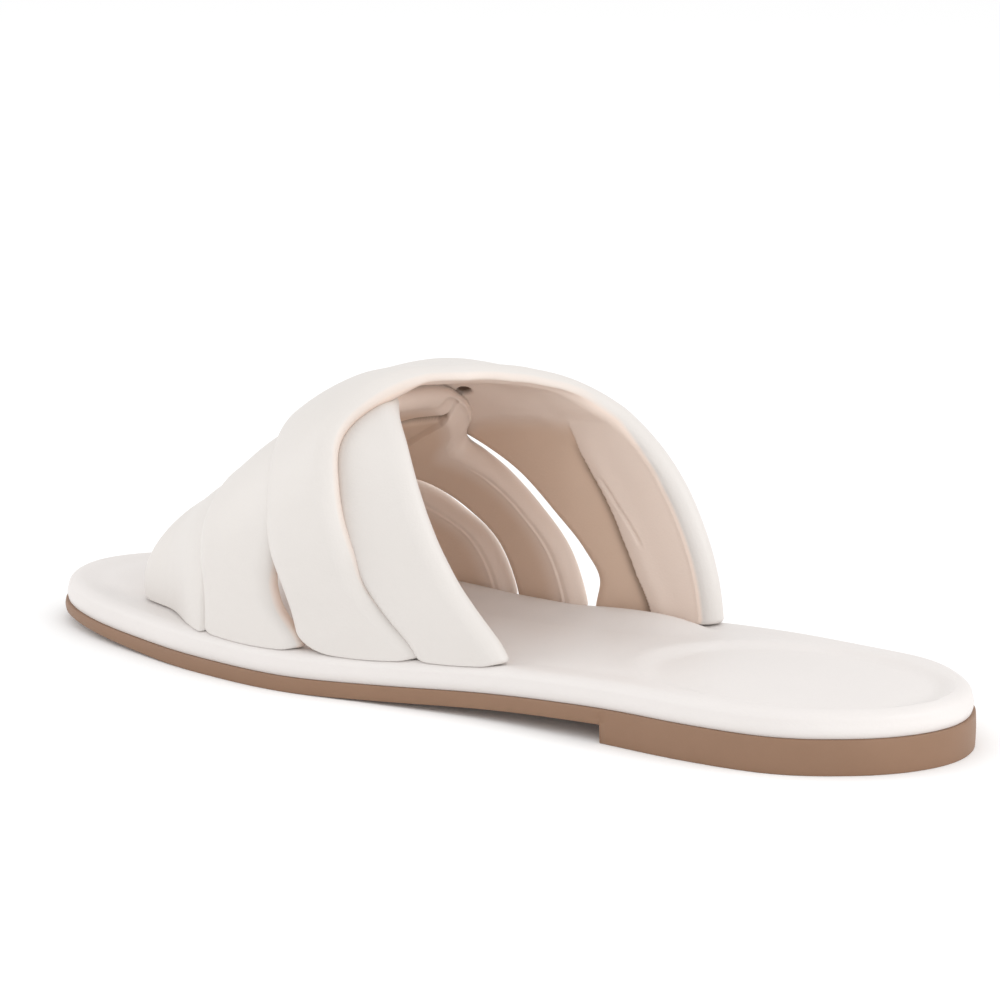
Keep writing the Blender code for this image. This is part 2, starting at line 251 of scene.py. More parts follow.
def build_outsole():
    """Flat underside, rounded lower edge, a faintly full side wall, and the seat under the footbed."""
    low, high, edge = outsole_bottom, outsole_top, OUTSOLE_EDGE
    steps = [(edge * (1 - np.sin(a)), lambda s, a=a: low(s) + edge * (1 - np.cos(a)))
             for a in EDGE_TURNS]
    steps += [(-OUTSOLE_BULGE * np.sin(np.pi * w),
               lambda s, w=w: low(s) + edge + w * (high(s) - low(s) - 2 * edge))
              for w in np.linspace(0.0, 1.0, OUTSOLE_WALL_RINGS)[1:-1]]
    steps += [(edge * (1 - np.cos(a)), lambda s, a=a: high(s) - edge * (1 - np.sin(a)))
              for a in EDGE_TURNS]
    under = folded_sheet(edge, np.linspace(0.0, 1.0, SHEET_RINGS)[:-1], lambda s, x: low(s))
    seat = folded_sheet(edge, np.linspace(1.0, 0.0, SHEET_RINGS)[1:], lambda s, x: high(s))
    grid = np.concatenate([under, edge_rings(steps), seat])
    return new_piece("outsole_moulding", grid.reshape(-1, 3), ring_faces(*grid.shape[:2]), tan_rubber())


outsole = build_outsole()
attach(outsole, "root")
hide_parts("outsole")


# Footbed: a board with foam on it, wrapped in the ivory cover, which rolls over the edge and is
# turned in underneath. An oval cushion shows through at the heel. It is cemented on the outsole.
SEAT_GAP, WRAP_GAP, WRAP_EDGE = 0.3, 0.05, 0.1
BED_THICKNESS, BED_INSET = 5.5, 0.8
BED_ROLL, BED_ROLL_FALL, BED_SIDE_BULGE = 3.2, 2.4, 0.35
BED_VALLEY_IN, BED_VALLEY_WIDTH, BED_VALLEY_DEPTH, BED_END_SOFT = 9.5, 3.0, 0.3, 4.0
PAD_CENTRE_S, PAD_CENTRE_X, PAD_HALF_LENGTH, PAD_HALF_WIDTH = 40.5, 1.5, 35.0, 25.0
PAD_DEPTH, PAD_RIM, PAD_BEAD = 1.0, 0.09, 0.22
SWELL = np.array((  # s, height of the swelling along the feet of the inner side's straps
    (78.0, 0.0), (84.0, 1.0), (90.0, 2.2), (100.0, 3.0), (110.0, 3.0), (120.0, 2.6), (130.0, 2.9),
    (140.0, 3.1), (150.0, 3.2), (160.0, 3.2), (174.0, 2.2), (186.0, 0.0)))
SWELL_START, SWELL_FULL, SWELL_END = 9.4, 11.2, 24.0
BED_WALL_RINGS, BED_ROLL_RINGS, BED_TOP_RINGS = 6, 11, 41
BED_COVER_DEEP, BED_COVER_PALE = (0.715, 0.678, 0.656, 1.0), (0.760, 0.723, 0.702, 1.0)
BED_ROUGHNESS, BED_ROUGHNESS_SPREAD = 0.42, 0.14
GRAIN_CELLS, GRAIN_NOISE, GRAIN_FINER, GRAIN_DISTANCE = 0.7, 0.5, 2.2, 0.00025


def bed_top(s):
    """Top of the footbed: the outsole's top, the seat gap and one thickness."""
    return outsole_top(s) + SEAT_GAP + BED_THICKNESS


def heel_hollow(s, x):
    """Depth of the oval heel hollow: level inside, a smooth rim, and a low bead around the rim."""
    reach = np.hypot((s - PAD_CENTRE_S) / PAD_HALF_LENGTH, (x - PAD_CENTRE_X) / PAD_HALF_WIDTH)
    bead = PAD_BEAD * np.exp(-((reach - 1.0 - PAD_RIM) / PAD_RIM) ** 2)
    return PAD_DEPTH * (1.0 - smooth_step(reach, 1.0 - PAD_RIM, 1.0 + PAD_RIM)) - bead


def bed_surface(s, x):
    """The top that the foot stands on: the bed's top less the heel hollow and a shallow valley.

    The valley is a bell curve over the distance from the edge, the smooth minimum of the distance
    to the side and the distance to the nearer end. On the inner side the cover swells up against
    the straps' feet: a steep rise over the distance from the side, then a smooth fall.
    """
    edge = np.where(x > middle_line(s), side_edge(s, 1), side_edge(s, 2))
    side, end = edge - np.abs(x - middle_line(s)), np.minimum(s, SOLE_LENGTH - s)
    inside = -BED_END_SOFT * np.log(np.exp(-side / BED_END_SOFT) + np.exp(-end / BED_END_SOFT))
    valley = BED_VALLEY_DEPTH * np.exp(-((inside - BED_VALLEY_IN) / BED_VALLEY_WIDTH) ** 2)
    across = (smooth_step(side, SWELL_START, SWELL_FULL)
              * (1.0 - smooth_step(side, SWELL_FULL, SWELL_END)))
    along = (smooth_step(s, SWELL[0, 0], SWELL[1, 0])
             * (1.0 - smooth_step(s, SWELL[-2, 0], SWELL[-1, 0])))
    swell = across * along * curve_through(s, SWELL[:, 0], SWELL[:, 1])
    swell = np.where(x > middle_line(s), 0.0, swell)
    return bed_top(s) - heel_hollow(s, x) - valley + swell


def grain_normal(place, size, strength):
    """Fine leather grain: cells about size metres across, softened by noise, as a bump."""
    cells = place.make("ShaderNodeTexVoronoi", {"feature": "SMOOTH_F1"},
                       {"Vector": place, "Scale": 1.0 / size, "Smoothness": 0.6})
    relief = GRAIN_CELLS * cells + GRAIN_NOISE * place.noise(scale=GRAIN_FINER / size, detail=2.0)
    return relief.make("ShaderNodeBump", {},
                       {"Strength": strength, "Distance": GRAIN_DISTANCE, "Height": relief})


def ivory_bed_cover():
    """Smooth coated cover: warm ivory with a faint cloudiness, fine grain and a soft satin finish."""
    material, shader, place = new_material("ivory_bed_cover", Metallic=0.0, Specular_IOR_Level=0.4)
    cloud = place.noise(scale=38.0, detail=4.0)
    feed(shader,
         Base_Color=cloud.blend(BED_COVER_DEEP, BED_COVER_PALE),
         Roughness=BED_ROUGHNESS + BED_ROUGHNESS_SPREAD * cloud,
         Normal=grain_normal(place, size=0.0007, strength=0.16))
    return material


def build_footbed():
    """Turned-in bottom edge, a slightly full side, a rolled top edge and the padded top."""
    def low(s):
        return outsole_top(s) + WRAP_GAP
    base = WRAP_EDGE
    steps = [(BED_INSET + base * (1 - np.sin(a)), lambda s, a=a: low(s) + base * (1 - np.cos(a)))
             for a in EDGE_TURNS]
    wall = SEAT_GAP - WRAP_GAP + BED_THICKNESS - BED_ROLL_FALL - base
    steps += [(BED_INSET - BED_SIDE_BULGE * np.sin(np.pi * w), lambda s, w=w: low(s) + base + w * wall)
              for w in np.linspace(0.0, 1.0, BED_WALL_RINGS)[1:-1]]
    steps += [(BED_INSET + BED_ROLL * (1 - np.cos(a)),
               lambda s, a=a: bed_top(s) - BED_ROLL_FALL * (1 - np.sin(a)))
              for a in np.radians(np.linspace(0.0, 90.0, BED_ROLL_RINGS))]
    under = folded_sheet(BED_INSET + base, np.linspace(0.0, 1.0, SHEET_RINGS)[:-1], lambda s, x: low(s))
    top = folded_sheet(BED_INSET + BED_ROLL, np.linspace(1.0, 0.0, BED_TOP_RINGS)[1:], bed_surface)
    grid = np.concatenate([under, edge_rings(steps), top])
    return new_piece("footbed_wrap", grid.reshape(-1, 3), ring_faces(*grid.shape[:2]), ivory_bed_cover())


footbed = build_footbed()
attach(footbed, "root")
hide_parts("footbed")


# Straps: four padded bands, each of ivory cover turned round a strip of foam and closed by a pink
# beige lining on the inside. They cross in two pairs over the foot and go down into the footbed.
STRAP_THICKNESS, OVER_LIFT = 6.5, 5.0
OUTER_INSET, OUTER_TOE_INSET, OUTER_TOE_START, OUTER_TOE_END = 1.9, 8.0, 180.0, 203.0
INNER_INSET, INNER_TOE_INSET, INNER_TOE_START, INNER_TOE_END = 2.5, 6.0, 180.0, 218.0
FOOT_REACH, HALF_WAY = 8.0, 0.5
ARCH_ROUNDNESS, LEVEL_FOOT = 2.8, 0.12
SLOPE_STEP_T, SLOPE_STEP_S, SLOPE_END_T = 0.002, 0.5, 0.01
ARCH = np.array((  # s, height of the hollow over the footbed
    (80.0, 52.5), (110.0, 52.5), (135.0, 52.3), (150.0, 49.4), (165.0, 41.0), (178.0, 31.0),
    (190.0, 25.7), (205.0, 17.4), (225.0, 11.0)))
STRAPS = {  # share of the way over the foot, rear edge, front edge, share of the lift
    "rear_under": np.array((
        (0.0, 98.6, 122.0, 0.0), (0.025, 105.0, 129.0, 0.0), (0.05, 109.8, 134.0, 0.0),
        (0.1, 116.2, 140.0, 0.0), (0.15, 120.8, 145.0, 0.0), (0.2, 124.6, 149.5, 0.0),
        (0.3, 131.8, 158.0, 0.0), (0.4, 139.8, 166.5, 0.0), (0.5, 147.0, 173.0, 0.0),
        (0.6, 147.2, 176.5, 0.0), (0.68, 148.5, 176.5, 0.0), (0.71, 150.0, 175.8, 0.0),
        (0.735, 153.0, 174.8, 0.0), (0.76, 154.4, 173.2, 0.0), (0.8, 151.0, 170.4, 0.0),
        (0.85, 144.1, 165.6, 0.0), (0.9, 135.8, 158.4, 0.0), (0.95, 127.2, 149.1, 0.0),
        (1.0, 121.4, 142.3, 0.0))),
    "rear_over": np.array((
        (0.0, 120.0, 151.6, 0.02), (0.025, 128.0, 153.0, 0.14), (0.05, 132.8, 154.4, 0.34),
        (0.1, 136.6, 157.4, 0.68), (0.15, 139.8, 159.4, 0.9), (0.2, 142.2, 161.0, 1.0),
        (0.3, 145.2, 164.0, 1.0), (0.4, 139.3, 167.0, 1.0), (0.5, 130.0, 168.5, 1.0),
        (0.6, 120.5, 167.5, 1.0), (0.7, 108.8, 162.0, 0.9), (0.8, 97.2, 150.6, 0.6),
        (0.85, 92.3, 140.8, 0.42), (0.9, 88.2, 131.6, 0.25), (0.95, 84.4, 121.4, 0.1),
        (0.98, 82.5, 116.8, 0.03), (1.0, 81.5, 118.0, 0.0))),
    "front_under": np.array((
        (0.0, 174.0, 214.5, 0.0), (0.1, 172.0, 214.0, 0.0), (0.2, 171.0, 211.5, 0.0),
        (0.3, 171.5, 208.5, 0.0), (0.4, 172.5, 205.5, 0.0), (0.5, 174.5, 203.5, 0.0),
        (0.6, 177.2, 201.5, 0.0), (0.7, 177.6, 199.5, 0.0), (0.75, 176.3, 198.0, 0.0),
        (0.8, 173.4, 196.0, 0.0), (0.85, 168.6, 191.5, 0.0), (0.9, 161.7, 186.0, 0.0),
        (0.95, 151.9, 180.5, 0.0), (1.0, 144.4, 176.0, 0.0))),
    "front_over": np.array((
        (0.0, 150.6, 181.6, 0.02), (0.025, 156.2, 181.2, 0.07), (0.05, 158.2, 181.0, 0.15),
        (0.08, 158.2, 181.0, 0.3), (0.1, 157.2, 181.2, 0.42), (0.15, 155.2, 181.4, 0.68),
        (0.2, 156.0, 181.8, 0.75), (0.25, 157.2, 182.0, 0.72), (0.3, 158.6, 182.4, 0.66),
        (0.35, 160.4, 183.0, 0.54), (0.4, 162.5, 184.0, 0.33), (0.5, 168.0, 188.0, 0.45),
        (0.6, 174.0, 194.0, 0.6), (0.7, 178.5, 199.5, 0.6), (0.8, 181.0, 203.0, 0.6),
        (0.9, 180.0, 203.5, 0.3), (1.0, 178.0, 201.0, 0.0))),
}
DROOPING_STRAP = "rear_over"
RIM_DROOP = np.array((  # share of the way over the foot, drop of the rear part and of the front part
    (0.0, 0.0, 0.0), (0.1, 0.0, 0.0), (0.2, 0.0, 1.0), (0.3, 0.0, 1.2), (0.4, 0.0, 0.2),
    (0.45, 0.4, 0.0), (0.5, 2.0, 0.0), (0.55, 2.8, 0.0), (0.6, 2.5, 0.0), (0.65, 1.4, 0.0),
    (0.72, 0.0, 0.0), (1.0, 0.0, 0.0)))
DROOP_START, DROOP_END = 8.0, 28.0
FRONT_DROOP_START, FRONT_DROOP_END = 3.0, 18.0
COVERED_BY = {"rear_under": "rear_over", "front_under": "front_over"}
STRAP_STATIONS, FACE_POINTS, ROLL_POINTS = 330, 76, 14
EDGE_ROLL, CROWN = 3.8, 0.18
CORNER, WIDE_CORNER, WIDE_CORNER_RISE, WIDE_CORNER_STRAP = 1.2, 7.5, 4.6, "rear_over"
LINING_STARTS = {  # share of the way over, inner distance of the lining's edge from the rear edge
    "rear_under": np.array(((0.0, 2.0), (0.4, 1.5), (0.45, -0.5), (0.6, -0.5), (0.64, -0.4),
                            (0.78, -0.4), (0.86, -1.6), (1.0, -1.6))),
    "rear_over": np.array(((0.0, 0.3), (0.03, 0.1), (0.08, 0.0), (0.55, 0.0), (0.65, 0.1), (0.72, 0.8),
                           (0.78, 2.4), (0.85, 3.6), (1.0, 3.4))),
    "front_under": np.array(((0.0, 3.0), (0.5, 3.0), (0.62, -1.6), (1.0, -1.6))),
    "front_over": np.array(((0.0, -0.4), (0.06, -0.3), (0.1, 0.3), (0.2, 3.0), (1.0, 3.0)))}
LINING_SOFT, LINING_GROOVE, GROOVE_IN, GROOVE_WIDTH = 0.4, 0.25, 3.8, 0.4
# Distances from the lining's edge: within the first it keeps its lit colour, past the second it is
# painted browner as shade.
SHADE_START_IN, SHADE_FULL_IN = 3.0, 11.0
LINING_RIDGE, RIDGE_IN, RIDGE_WIDTH = 0.18, 0.9, 0.45
SEAM_START, SEAM_FULL, INNER_START, INNER_FULL = 0.5, 2.0, 0.2, 0.9
PRESS_SOFT, PRESS_CLEAR = 6.0, 0.1
SLIM_DEPTH, SLIM_HOLD, SLIM_REACH = 1.7, 20.0, 32.0
SLIM_START, SLIM_FULL, SLIM_LAST, SLIM_END = 0.4, 0.47, 0.62, 0.7
COVER_DEEP, COVER_PALE = (0.670, 0.634, 0.603, 1.0), (0.710, 0.675, 0.645, 1.0)
# Lining colours: as it looks where lit, and a browner copy of it that paints its shade.
LIT_LINING_DEEP, LIT_LINING_PALE = (0.790, 0.655, 0.570, 1.0), (0.830, 0.695, 0.610, 1.0)
SHADED_LINING_DEEP, SHADED_LINING_PALE = (0.680, 0.505, 0.390, 1.0), (0.725, 0.550, 0.435, 1.0)
# Painted dark shade for the slot, the hole and the crease along the fold.
PAINTED_SHADE_COLOUR = (0.120, 0.075, 0.050, 1.0)
STRAP_ROUGHNESS, STRAP_ROUGHNESS_SPREAD, LINING_ROUGHER = 0.40, 0.12, 0.14


def arch_height(s, t):
    """Height of the hollow at share t of the way over: the arch's height times a power of the sine."""
    height = curve_through(s, ARCH[:, 0], ARCH[:, 1])
    return height * np.abs(np.sin(np.pi * t)) ** (2.0 / ARCH_ROUNDNESS)


def last_point(s, t):
    """The hollow under the straps: at each s a rounded arch from the outer side to the inner side.

    Across it is the mean of the two feet plus half their distance times a power of the cosine.
    """
    outer_in = OUTER_INSET + OUTER_TOE_INSET * smooth_step(s, OUTER_TOE_START, OUTER_TOE_END)
    inner_in = INNER_INSET + INNER_TOE_INSET * smooth_step(s, INNER_TOE_START, INNER_TOE_END)
    outer_x = middle_line(s) + side_edge(s, 1) - outer_in - STRAP_THICKNESS
    inner_x = middle_line(s) - side_edge(s, 2) + inner_in + STRAP_THICKNESS
    cosine = np.cos(np.pi * t)
    across = np.sign(cosine) * np.abs(cosine) ** (2.0 / ARCH_ROUNDNESS)
    x = (outer_x + inner_x) / 2 + (outer_x - inner_x) / 2 * across
    return np.stack([x, SOLE_LENGTH / 2 - s, bed_top(s) + SEAT_GAP + arch_height(s, t)], axis=-1)


def last_outward(s, t):
    """Unit normal of the hollow, from the cross product of its two slopes, turned level at the feet."""
    inside = np.clip(t, SLOPE_END_T, 1.0 - SLOPE_END_T)
    along_t = last_point(s, inside + SLOPE_STEP_T) - last_point(s, inside - SLOPE_STEP_T)
    along_s = last_point(s + SLOPE_STEP_S, inside) - last_point(s - SLOPE_STEP_S, inside)
    out = np.cross(along_t, along_s)
    out[..., 1] *= np.sin(np.pi * t)
    out[..., 2] *= smooth_step(np.sin(np.pi * t), 0.0, LEVEL_FOOT)
    return out / np.linalg.norm(out, axis=-1, keepdims=True)


def foot_fall(points):
    """Drop of the strap ends onto the footbed's rolled edge: an ellipse's fall, none above the reach."""
    s = SOLE_LENGTH / 2 - points[..., 1]
    beside = points[..., 0] - middle_line(s)
    edge = np.where(beside > 0.0, side_edge(s, 1), side_edge(s, 2))
    share = np.clip(1.0 - (edge - np.abs(beside) - BED_INSET) / BED_ROLL, 0.0, 1.0)
    roll_fall = BED_ROLL_FALL * (1.0 - np.sqrt(1.0 - share**2))
    return roll_fall * (1.0 - smooth_step(points[..., 2] - bed_top(s), 0.0, FOOT_REACH))


def round_in(height, radius):
    """A quarter round: 0 at height 0, rising along a circle to 1 at the radius and above."""
    return np.sqrt(1.0 - (1.0 - np.clip(height / radius, 0.0, 1.0)) ** 2)


def section_loop():
    """Once round a strap's section: place on the flat faces, reach into the rolls, and depth.

    The outer face runs from rear to front, then come the front roll, the inner face and the rear roll.
    """
    face = np.linspace(-1.0, 1.0, FACE_POINTS)
    turn = np.linspace(0.0, np.pi, ROLL_POINTS + 2)[1:-1]
    one = np.ones_like(turn)
    flat = np.concatenate([face, one, -face, -one])
    reach = np.concatenate([0 * face, np.sin(turn), 0 * face, -np.sin(turn)])
    depth = np.concatenate([face * 0 + 1, np.cos(turn), face * 0 - 1, -np.cos(turn)])
    return flat[None, :], reach[None, :], depth[None, :]


def strap_edges(name, t):
    """Rear edge, front edge and lift of a strap at shares t, as columns."""
    rows = STRAPS[name]
    return [curve_through(t, rows[:, 0], rows[:, k])[:, None] for k in (1, 2, 3)]


def strap_base(name, s, t):
    """Height of a strap's inner face over the hollow: its share of the lift, less the rim's droop.

    The droop is full at the rear and front edges and fades over a smooth step towards the middle.
    """
    rear, front, over = strap_edges(name, t)
    base = OVER_LIFT * over + 0.0 * s
    if name == DROOPING_STRAP:
        drop_rear, drop_front = (np.interp(t, RIM_DROOP[:, 0], RIM_DROOP[:, k])[:, None] for k in (1, 2))
        base = (base - drop_rear * (1.0 - smooth_step(s - rear, DROOP_START, DROOP_END))
                - drop_front * (1.0 - smooth_step(front - s, FRONT_DROOP_START, FRONT_DROOP_END)))
    return base


def rim_slim(inwards, t):
    """Thinning of the uppermost strap's rear part at the top: full at the rim, less by a smooth step."""
    return (SLIM_DEPTH * (1.0 - smooth_step(inwards, SLIM_HOLD, SLIM_REACH))
            * smooth_step(t, SLIM_START, SLIM_FULL) * (1.0 - smooth_step(t, SLIM_LAST, SLIM_END)))


def strap_surface(name, lining):
    """A padded strap over the hollow, as a grid: shares t by points round the section.

    A point lies on the hollow at its s and t, lifted along the normal by the strap's place in the
    pile, half its thickness, and the section's depth. The outer face is crowned, the lower ends
    follow the footbed's rolled edge, and where another strap covers it the lift is held down.
    The inner face has a groove and a ridge along the lining's edge, two bell curves, and the
    lining's own dents. With the points go the values that the finish reads: the distance past
    the lining's edge, the lining's painted shade, which makes it browner where it lies in shade,
    and the painted dark shade in its slot, its hole and along its fold.
    """
    t = 0.5 - 0.5 * np.cos(np.pi * np.linspace(0.0, 1.0, STRAP_STATIONS))
    rear, front = strap_edges(name, t)[:2]
    foot = arch_height((rear + front) / 2, t[:, None])
    wide = (t[:, None] < HALF_WAY) & (name == WIDE_CORNER_STRAP)
    rear = rear + CORNER * (1.0 - round_in(foot, CORNER))
    front = front - np.where(wide, WIDE_CORNER * (1.0 - round_in(foot, WIDE_CORNER_RISE)),
                             CORNER * (1.0 - round_in(foot, CORNER)))
    middle, half = (rear + front) / 2, (front - rear) / 2
    flat, reach, depth = section_loop()
    x = flat * (half - EDGE_ROLL) + EDGE_ROLL * reach
    share = x / half
    depth = np.where(depth > 0, depth * (1.0 - CROWN * share**2), depth)
    s = middle + x
    t_grid = np.broadcast_to(t[:, None], s.shape)
    body = STRAP_THICKNESS / 2 * (1.0 + depth)
    inner = smooth_step(-depth, INNER_START, INNER_FULL)
    start = np.interp(t, LINING_STARTS[name][:, 0], LINING_STARTS[name][:, 1])[:, None]
    inwards = half + x
    past_seam = inwards - np.where(start > SEAM_START, start, GROOVE_IN)
    seam = (LINING_GROOVE * np.exp(-(past_seam / GROOVE_WIDTH) ** 2)
            - LINING_RIDGE * np.exp(-((past_seam - RIDGE_IN) / RIDGE_WIDTH) ** 2))
    dent, lining_shade, painted_shade = lining(s, t_grid, inwards)
    body = body + inner * (smooth_step(np.abs(start), SEAM_START, SEAM_FULL) * seam + dent)
    lift = strap_base(name, s, t) + body
    if name in COVERED_BY:
        cover_rear, cover_front = strap_edges(COVERED_BY[name], t)[:2]
        covered = (smooth_step(s, cover_rear, cover_rear + PRESS_SOFT)
                   * (1.0 - smooth_step(s, cover_front - PRESS_SOFT, cover_front)))
        room = strap_base(COVERED_BY[name], s, t) - PRESS_CLEAR
        if COVERED_BY[name] == DROOPING_STRAP:
            room = room + rim_slim(s - cover_rear, t_grid)
        lift = lift - covered * np.clip(lift - room, 0.0, None)
    girth = np.where(depth > 0, -1.0, 1.0) * inwards
    points = last_point(s, t_grid) + last_outward(s, t_grid) * lift[..., None]
    points[..., 2] -= foot_fall(points)
    return points, {"lining": girth - start, "lining_shade": lining_shade, "painted_shade": inner * painted_shade}


def tube_faces(stations, count):
    """Quads round a closed section carried along its stations, with one face at each end."""
    index = np.arange(stations * count).reshape(stations, count)
    ahead = np.roll(index, -1, axis=1)
    quads = np.stack([index[:-1], ahead[:-1], ahead[1:], index[1:]], axis=-1).reshape(-1, 4)
    return [quads, index[:1, ::-1], index[-1:]]


def padded_strap_finish():
    """Ivory cover outside and pink beige lining inside, parted where the mesh's lining value is 0.

    The lining goes from its lit colour to a browner copy, painted shade, as the mesh's shade value
    rises, and to a painted dark shade where the mesh marks the slot, the hole and the fold's crease.
    """
    material, shader, place = new_material("padded_strap", Metallic=0.0, Specular_IOR_Level=0.4)
    past_edge, lining_shade, painted_shade = (place.make("ShaderNodeAttribute", {"attribute_name": key}, {}, out="Fac")
                            for key in ("lining", "lining_shade", "painted_shade"))
    lining = past_edge.make("ShaderNodeMapRange", {},
                            {"Value": past_edge, "From Min": -LINING_SOFT, "From Max": LINING_SOFT})
    cloud = place.noise(scale=45.0, detail=4.0)
    cover = cloud.blend(COVER_DEEP, COVER_PALE)
    inside = cloud.blend(lining_shade.blend(LIT_LINING_DEEP, SHADED_LINING_DEEP),
                         lining_shade.blend(LIT_LINING_PALE, SHADED_LINING_PALE))
    feed(shader,
         Base_Color=lining.blend(cover, painted_shade.blend(inside, PAINTED_SHADE_COLOUR)),
         Roughness=STRAP_ROUGHNESS + STRAP_ROUGHNESS_SPREAD * cloud + LINING_ROUGHER * lining,
         Normal=grain_normal(place, size=0.0006, strength=0.14))
    return material


def smooth_lining(s, t, inwards):
    """A lining with no folds, lit pale along its edge: no dents, painted shade further in, no dark
    shade.
    """
    return 0.0 * s, smooth_step(inwards, SHADE_START_IN, SHADE_FULL_IN), 0.0 * s


# The rear upper strap's lining is pleated along the inner side: ahead of a sharp fold it lies deeper
# and is painted browner as shade, with painted dark shade along the fold; a short wrinkle runs behind
# the fold, and a small hole stays open near the top, painted dark as shade.
PLEAT = np.array((  # share of the way over, s
    (0.75, 121.8), (0.79, 120.5), (0.83, 117.5), (0.864, 114.2), (0.897, 111.2), (0.928, 108.5),
    (0.969, 104.2), (1.0, 99.5)))
PLEAT_DEPTH, PLEAT_EDGE, PLEAT_FADE, PLEAT_PUFF, PUFF_AT, PUFF_WIDTH = 2.2, 0.3, 9.0, 0.45, 3.5, 3.0
PLEAT_START, PLEAT_FULL = 0.72, 0.81
SHELF_T, SHELF_SOFT, SHELF_DEPTH, SHELF_FADE = 0.73, 2.5, 1.0, 12.0
SHELF_START, SHELF_FULL = 124.0, 134.0
SHELF_PUFF, SHELF_PUFF_AT, SHELF_PUFF_WIDTH, ARCH_LENGTH = 0.5, 5.0, 4.0, 130.0
WRINKLE = np.array(((0.83, 115.0), (0.848, 113.2), (0.881, 109.5), (0.922, 104.2), (0.94, 102.0)))
WRINKLE_DEPTH, WRINKLE_WIDTH = 0.5, 0.4
# Painted dark shade along the fold: its strength, distance ahead of the fold line, width, start and
# full.
CREASE_SHADE, CREASE_AT, CREASE_WIDTH, CREASE_START, CREASE_FULL = 0.55, 1.5, 1.2, 0.77, 0.83
HOLE_T, HOLE_S, HOLE_LENGTH, HOLE_WIDTH, HOLE_DEPTH, HOLE_FLOOR = 0.632, 147.0, 2.2, 1.9, 1.0, 0.6
LINING_SHADE_SOFT = 0.5


def pleated_lining(s, t, inwards):
    """The fold: a step at its line that fades forwards, a low bell behind it, and a narrow groove.

    Towards the top it turns forwards into a soft shelf: the same step, taken down the strap. The
    hole is an oval with a soft rim. The strap's thinning at the rim is added. The painted shade rises
    past the fold and below the shelf, where the lining lies deeper and in shade, and painted dark
    shade fills the hole and a bell along the fold.
    """
    ahead = s - np.interp(t, PLEAT[:, 0], PLEAT[:, 1])
    fold = (PLEAT_DEPTH * smooth_step(ahead, -PLEAT_EDGE, PLEAT_EDGE)
            * np.exp(-np.clip(ahead, 0.0, None) / PLEAT_FADE))
    puff = PLEAT_PUFF * np.exp(-((ahead + PUFF_AT) / PUFF_WIDTH) ** 2)
    beside = s - np.interp(t, WRINKLE[:, 0], WRINKLE[:, 1])
    short = (smooth_step(t, WRINKLE[0, 0], WRINKLE[1, 0])
             * (1.0 - smooth_step(t, WRINKLE[-2, 0], WRINKLE[-1, 0])))
    wrinkle = WRINKLE_DEPTH * short * np.exp(-(beside / WRINKLE_WIDTH) ** 2)
    under = (t - SHELF_T) * ARCH_LENGTH
    shelf = (SHELF_DEPTH * smooth_step(under, -SHELF_SOFT, SHELF_SOFT)
             * np.exp(-np.clip(under, 0.0, None) / SHELF_FADE)
             - SHELF_PUFF * np.exp(-((under + SHELF_PUFF_AT) / SHELF_PUFF_WIDTH) ** 2))
    from_hole = np.hypot((s - HOLE_S) / HOLE_LENGTH, (t - HOLE_T) * ARCH_LENGTH / HOLE_WIDTH)
    hole = 1.0 - smooth_step(from_hole, HOLE_FLOOR, 1.0)
    dents = (rim_slim(inwards, t) + smooth_step(t, PLEAT_START, PLEAT_FULL) * (fold - puff) + wrinkle
             + smooth_step(s, SHELF_START, SHELF_FULL) * shelf + HOLE_DEPTH * hole)
    lining_shade = smooth_step(ahead, -LINING_SHADE_SOFT, LINING_SHADE_SOFT) * smooth_step(under, -SHELF_SOFT, 2 * SHELF_SOFT)
    crease_shade = CREASE_SHADE * np.exp(-((ahead - CREASE_AT) / CREASE_WIDTH) ** 2)
    crease_shade = crease_shade * smooth_step(t, CREASE_START, CREASE_FULL)
    return dents, lining_shade, np.maximum(hole, crease_shade)


# Under the crossing the rear lower strap's lining is a second length, cut straight and laid over the
# end of the first one. A slot stays open where the first one folds in, darkened with painted shade.
FLAP_END = np.array((  # s, share of the way over
    (146.0, 0.625), (147.5, 0.629), (151.0, 0.641), (154.8, 0.649), (158.2, 0.652), (164.0, 0.651),
    (173.0, 0.65)))
FLAP_STEP, FLAP_EDGE, FLAP_FADE_START, FLAP_FADE_END = 1.3, 0.3, 0.72, 0.9
SLOT = np.array((  # share of the way over, s
    (0.5, 165.0), (0.55, 161.5), (0.58, 159.0), (0.605, 157.3), (0.622, 155.6), (0.637, 153.6),
    (0.646, 152.0)))
# The slot's depth and width, and where its painted dark shade starts and is full.
SLOT_DEPTH, SLOT_WIDTH, SLOT_SHADE_START, SLOT_SHADE_FULL = 3.8, 1.3, 0.05, 0.7
THIN_DEPTH, THIN_REACH = 3.2, 5.0
THIN_START, THIN_FULL, THIN_HOLD, THIN_END = 0.575, 0.61, 0.7, 0.75


